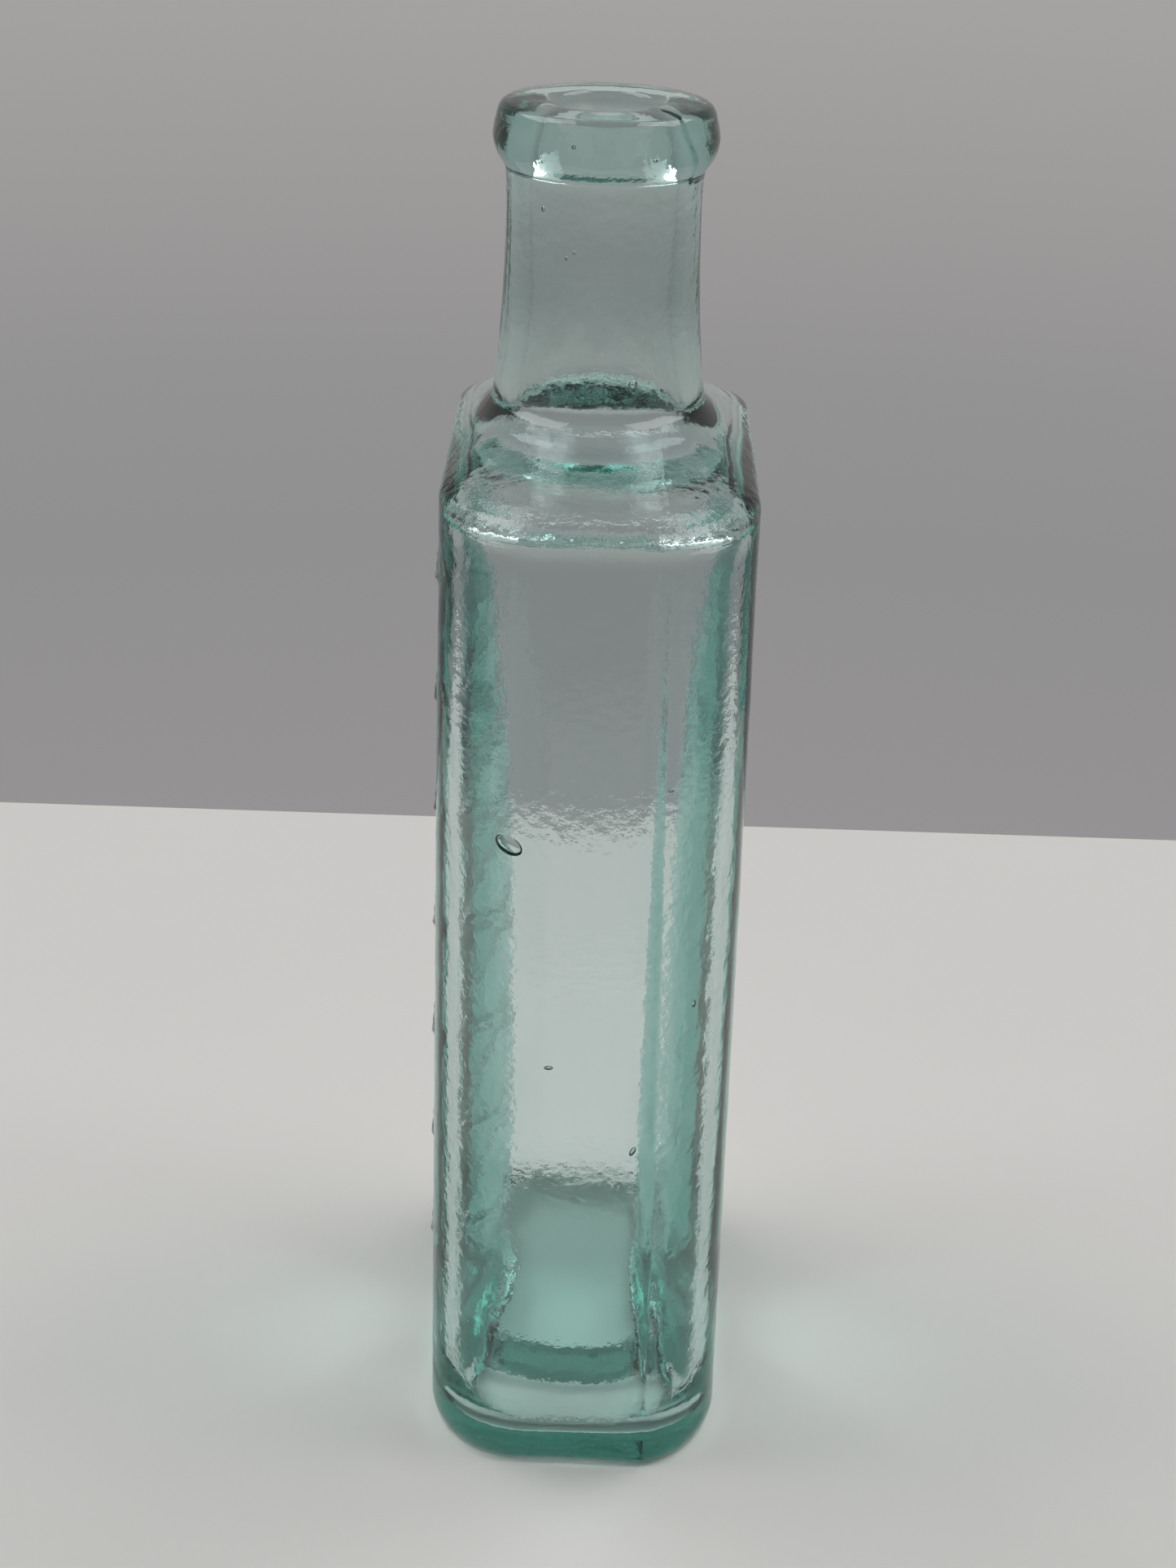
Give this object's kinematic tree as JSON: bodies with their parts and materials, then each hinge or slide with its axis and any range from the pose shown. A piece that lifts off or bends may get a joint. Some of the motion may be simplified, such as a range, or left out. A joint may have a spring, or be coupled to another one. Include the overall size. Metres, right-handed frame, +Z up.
{
  "type": "antique glass bottle",
  "caption": "Tall rectangular mould-blown bottle in pale aqua glass, rounded corners, hipped shoulder, long neck and an applied ring lip.",
  "frame": {"origin": "centre of the body's foot, on the surface the bottle stands on", "axes": "+Z up along the height; X across the narrow sides (39 mm); Y across the wide sides (64 mm); -Y is the narrow side seen in the picture"},
  "size_m": [0.0394, 0.064, 0.1766],
  "materials": {
    "aqua_glass": "gloss, faint mould texture"
  },
  "bodies": {
    "root": {"bottle_body": "aqua_glass", "applied_lip": "aqua_glass"}
  },
  "joints": []
}
